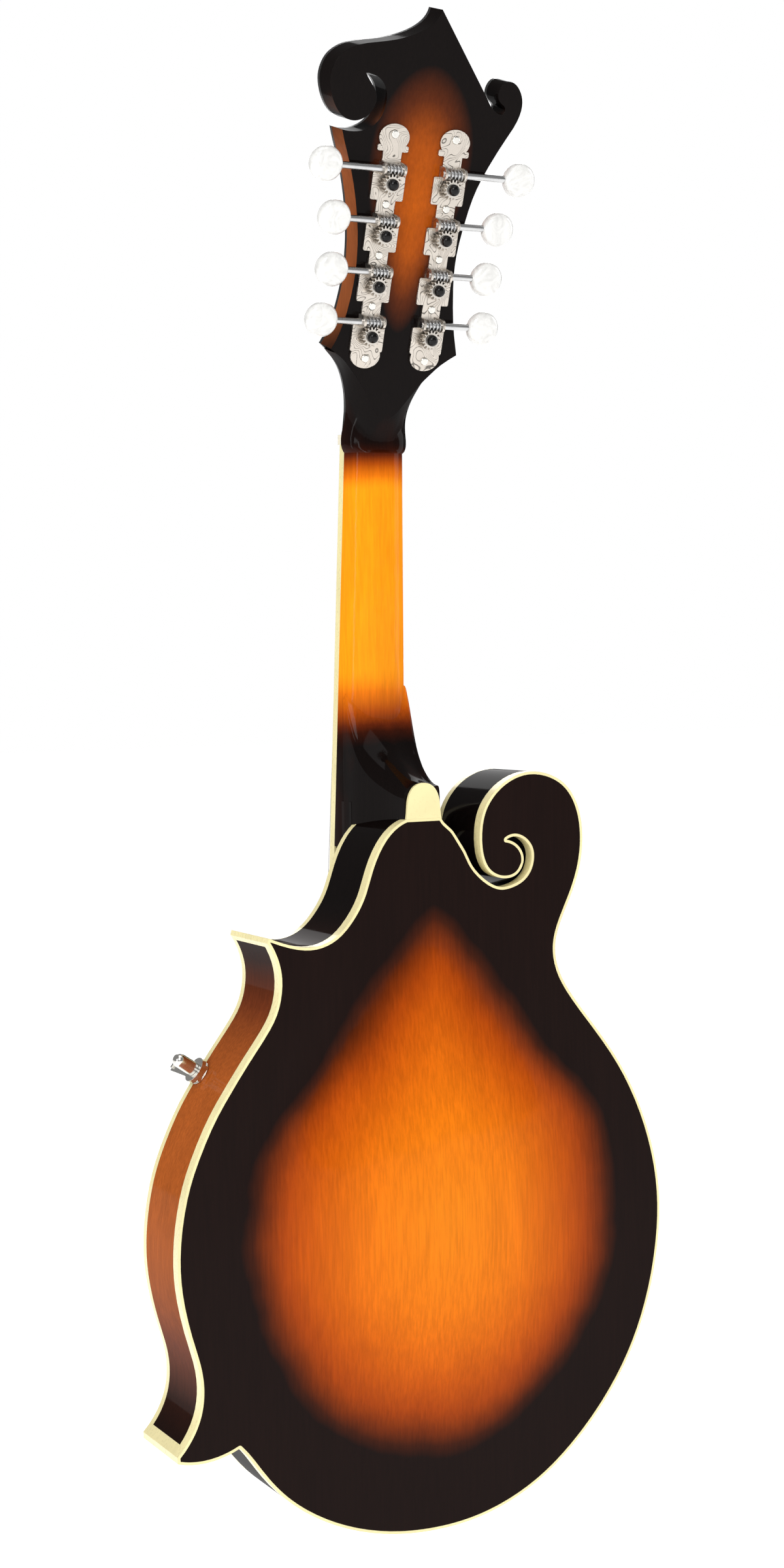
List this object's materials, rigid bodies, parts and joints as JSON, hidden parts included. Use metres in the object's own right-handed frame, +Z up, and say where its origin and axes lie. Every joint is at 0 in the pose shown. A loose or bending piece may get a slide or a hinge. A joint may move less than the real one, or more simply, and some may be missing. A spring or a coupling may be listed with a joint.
{
  "type": "mandolin",
  "caption": "F-style mandolin with a scroll and two body points, carved arched plates, f-holes, a movable bridge, a slide-on tailpiece cover and geared tuners.",
  "frame": {"origin": "middle of the fingerboard's surface where it meets the nut, at the place where a hanger's yoke holds the neck", "axes": "+Z up the body's plane towards the headstock, +Y out of the back, strings on -Y, +X towards the treble side and the body points"},
  "size_m": [0.2584, 0.1051, 0.7094],
  "materials": {
    "spruce_top": "gloss lacquer over a sunburst stain, straight fine grain",
    "maple_back": "gloss lacquer over an amber to near-black sunburst",
    "maple_sides": "gloss lacquer, dark red-brown, lighter at the waist",
    "cream_binding": "polished aged ivory-coloured plastic",
    "inner_wood": "raw sawn wood",
    "maple_neck": "gloss lacquer, amber in the middle and black at both ends",
    "rod_steel": "bright drawn steel",
    "tuner_steel": "plated steel with a machined gear",
    "black_trim": "polished black plastic",
    "black_veneer": "gloss black lacquer",
    "ebony": "oiled close-grained black wood",
    "fret_wire": "polished nickel silver",
    "pearl": "mother-of-pearl",
    "bone": "polished bone",
    "brass_posts": "turned brass, satin",
    "nickel": "polished nickel plate",
    "guard_plastic": "polished black plastic edged with a cream strip",
    "string_steel": "plain steel and wound bronze strings",
    "pearloid_buttons": "polished pearl-like plastic"
  },
  "bodies": {
    "body_and_neck": {"top_plate": "spruce_top", "back_plate": "maple_back", "rim": "maple_sides", "body_bindings": "cream_binding", "head_block": "inner_wood", "tail_and_point_blocks": "inner_wood", "kerfed_linings": "inner_wood", "tone_bars": "inner_wood", "neck": "maple_neck", "heel_cap": "cream_binding", "point_caps": "cream_binding", "truss_rod": "rod_steel", "truss_rod_cover": "black_trim", "headstock_overlay": "black_veneer", "fingerboard": "ebony", "fingerboard_binding": "cream_binding", "frets": "fret_wire", "position_dots": "pearl", "nut": "bone", "bridge_base": "ebony", "bridge_studs": "brass_posts", "tailpiece_base": "nickel", "end_pin": "ebony", "pickguard": "guard_plastic", "pickguard_bracket": "nickel", "pickguard_pins": "rod_steel", "strings": "string_steel", "tuner_plates": "nickel", "wood_screws": "nickel", "post_bushings": "nickel"},
    "tuner_treble_1_knob": {"tuner_treble_1_button": "pearloid_buttons", "tuner_treble_1_worm": "rod_steel"},
    "tuner_treble_1_gear": {"tuner_treble_1_post": "tuner_steel"},
    "tuner_treble_2_knob": {"tuner_treble_2_button": "pearloid_buttons", "tuner_treble_2_worm": "rod_steel"},
    "tuner_treble_2_gear": {"tuner_treble_2_post": "tuner_steel"},
    "tuner_treble_3_knob": {"tuner_treble_3_button": "pearloid_buttons", "tuner_treble_3_worm": "rod_steel"},
    "tuner_treble_3_gear": {"tuner_treble_3_post": "tuner_steel"},
    "tuner_treble_4_knob": {"tuner_treble_4_button": "pearloid_buttons", "tuner_treble_4_worm": "rod_steel"},
    "tuner_treble_4_gear": {"tuner_treble_4_post": "tuner_steel"},
    "tuner_bass_1_knob": {"tuner_bass_1_button": "pearloid_buttons", "tuner_bass_1_worm": "rod_steel"},
    "tuner_bass_1_gear": {"tuner_bass_1_post": "tuner_steel"},
    "tuner_bass_2_knob": {"tuner_bass_2_button": "pearloid_buttons", "tuner_bass_2_worm": "rod_steel"},
    "tuner_bass_2_gear": {"tuner_bass_2_post": "tuner_steel"},
    "tuner_bass_3_knob": {"tuner_bass_3_button": "pearloid_buttons", "tuner_bass_3_worm": "rod_steel"},
    "tuner_bass_3_gear": {"tuner_bass_3_post": "tuner_steel"},
    "tuner_bass_4_knob": {"tuner_bass_4_button": "pearloid_buttons", "tuner_bass_4_worm": "rod_steel"},
    "tuner_bass_4_gear": {"tuner_bass_4_post": "tuner_steel"},
    "saddle": {"bridge_saddle": "ebony"},
    "thumbwheel_bass": {"bridge_thumbwheel_bass": "brass_posts"},
    "thumbwheel_treble": {"bridge_thumbwheel_treble": "brass_posts"},
    "tail_cover": {"tailpiece_cover": "nickel"},
    "bracket_screw": {"bracket_thumbscrew": "nickel"},
    "truss_nut": {"truss_rod_nut": "brass_posts"}
  },
  "joints": [
    {"name": "tuner_treble_1_turn", "type": "hinge", "parent": "body_and_neck", "child": "tuner_treble_1_knob", "pos_m": [0.0156, 0.03827, 0.0526], "axis": [-1, 0, 0], "continuous": true},
    {"name": "tuner_treble_1_post_turn", "type": "hinge", "parent": "body_and_neck", "child": "tuner_treble_1_gear", "pos_m": [0.0156, 0.03608, 0.04633], "axis": [0, 0.9444, -0.3289], "continuous": true},
    {"name": "tuner_treble_2_turn", "type": "hinge", "parent": "body_and_neck", "child": "tuner_treble_2_knob", "pos_m": [0.0156, 0.04583, 0.07433], "axis": [-1, 0, 0], "continuous": true},
    {"name": "tuner_treble_2_post_turn", "type": "hinge", "parent": "body_and_neck", "child": "tuner_treble_2_gear", "pos_m": [0.0156, 0.04365, 0.06805], "axis": [0, 0.9444, -0.3289], "continuous": true},
    {"name": "tuner_treble_3_turn", "type": "hinge", "parent": "body_and_neck", "child": "tuner_treble_3_knob", "pos_m": [0.0156, 0.0534, 0.09605], "axis": [-1, 0, 0], "continuous": true},
    {"name": "tuner_treble_3_post_turn", "type": "hinge", "parent": "body_and_neck", "child": "tuner_treble_3_gear", "pos_m": [0.0156, 0.05121, 0.08977], "axis": [0, 0.9444, -0.3289], "continuous": true},
    {"name": "tuner_treble_4_turn", "type": "hinge", "parent": "body_and_neck", "child": "tuner_treble_4_knob", "pos_m": [0.0156, 0.06096, 0.11777], "axis": [-1, 0, 0], "continuous": true},
    {"name": "tuner_treble_4_post_turn", "type": "hinge", "parent": "body_and_neck", "child": "tuner_treble_4_gear", "pos_m": [0.0156, 0.05878, 0.11149], "axis": [0, 0.9444, -0.3289], "continuous": true},
    {"name": "tuner_bass_1_turn", "type": "hinge", "parent": "body_and_neck", "child": "tuner_bass_1_knob", "pos_m": [-0.0156, 0.03827, 0.0526], "axis": [-1, 0, 0], "continuous": true},
    {"name": "tuner_bass_1_post_turn", "type": "hinge", "parent": "body_and_neck", "child": "tuner_bass_1_gear", "pos_m": [-0.0156, 0.03608, 0.04633], "axis": [0, 0.9444, -0.3289], "continuous": true},
    {"name": "tuner_bass_2_turn", "type": "hinge", "parent": "body_and_neck", "child": "tuner_bass_2_knob", "pos_m": [-0.0156, 0.04583, 0.07433], "axis": [-1, 0, 0], "continuous": true},
    {"name": "tuner_bass_2_post_turn", "type": "hinge", "parent": "body_and_neck", "child": "tuner_bass_2_gear", "pos_m": [-0.0156, 0.04365, 0.06805], "axis": [0, 0.9444, -0.3289], "continuous": true},
    {"name": "tuner_bass_3_turn", "type": "hinge", "parent": "body_and_neck", "child": "tuner_bass_3_knob", "pos_m": [-0.0156, 0.0534, 0.09605], "axis": [-1, 0, 0], "continuous": true},
    {"name": "tuner_bass_3_post_turn", "type": "hinge", "parent": "body_and_neck", "child": "tuner_bass_3_gear", "pos_m": [-0.0156, 0.05121, 0.08977], "axis": [0, 0.9444, -0.3289], "continuous": true},
    {"name": "tuner_bass_4_turn", "type": "hinge", "parent": "body_and_neck", "child": "tuner_bass_4_knob", "pos_m": [-0.0156, 0.06096, 0.11777], "axis": [-1, 0, 0], "continuous": true},
    {"name": "tuner_bass_4_post_turn", "type": "hinge", "parent": "body_and_neck", "child": "tuner_bass_4_gear", "pos_m": [-0.0156, 0.05878, 0.11149], "axis": [0, 0.9444, -0.3289], "continuous": true},
    {"name": "saddle_height", "type": "slide", "parent": "body_and_neck", "child": "saddle", "axis": [0, 1, 0], "range_m": [0, 0.0015]},
    {"name": "thumbwheel_bass_turn", "type": "hinge", "parent": "saddle", "child": "thumbwheel_bass", "pos_m": [-0.027, -0.01238, -0.35158], "axis": [0, 1, 0], "range_deg": [0, 772]},
    {"name": "thumbwheel_treble_turn", "type": "hinge", "parent": "saddle", "child": "thumbwheel_treble", "pos_m": [0.027, -0.01238, -0.35158], "axis": [0, 1, 0], "range_deg": [0, 772]},
    {"name": "tailpiece_cover_slide", "type": "slide", "parent": "body_and_neck", "child": "tail_cover", "axis": [0, 0, -1], "range_m": [0, 0.015]},
    {"name": "bracket_screw_turn", "type": "hinge", "parent": "body_and_neck", "child": "bracket_screw", "pos_m": [0.0994, 0.016, -0.2919], "axis": [0.8211, 0, 0.5708], "continuous": true},
    {"name": "truss_nut_turn", "type": "hinge", "parent": "body_and_neck", "child": "truss_nut", "pos_m": [0, 0.00996, 0.01332], "axis": [0, 0.0558, 0.9984], "range_deg": [-180, 180]}
  ],
  "couplings": [
    {"joint": "tuner_treble_1_post_turn", "follows": "tuner_treble_1_turn", "ratio": 0.066667},
    {"joint": "tuner_treble_2_post_turn", "follows": "tuner_treble_2_turn", "ratio": 0.066667},
    {"joint": "tuner_treble_3_post_turn", "follows": "tuner_treble_3_turn", "ratio": 0.066667},
    {"joint": "tuner_treble_4_post_turn", "follows": "tuner_treble_4_turn", "ratio": 0.066667},
    {"joint": "tuner_bass_1_post_turn", "follows": "tuner_bass_1_turn", "ratio": 0.066667},
    {"joint": "tuner_bass_2_post_turn", "follows": "tuner_bass_2_turn", "ratio": 0.066667},
    {"joint": "tuner_bass_3_post_turn", "follows": "tuner_bass_3_turn", "ratio": 0.066667},
    {"joint": "tuner_bass_4_post_turn", "follows": "tuner_bass_4_turn", "ratio": 0.066667},
    {"joint": "thumbwheel_bass_turn", "follows": "saddle_height", "rad_per_m": 8976},
    {"joint": "thumbwheel_treble_turn", "follows": "saddle_height", "rad_per_m": 8976}
  ]
}
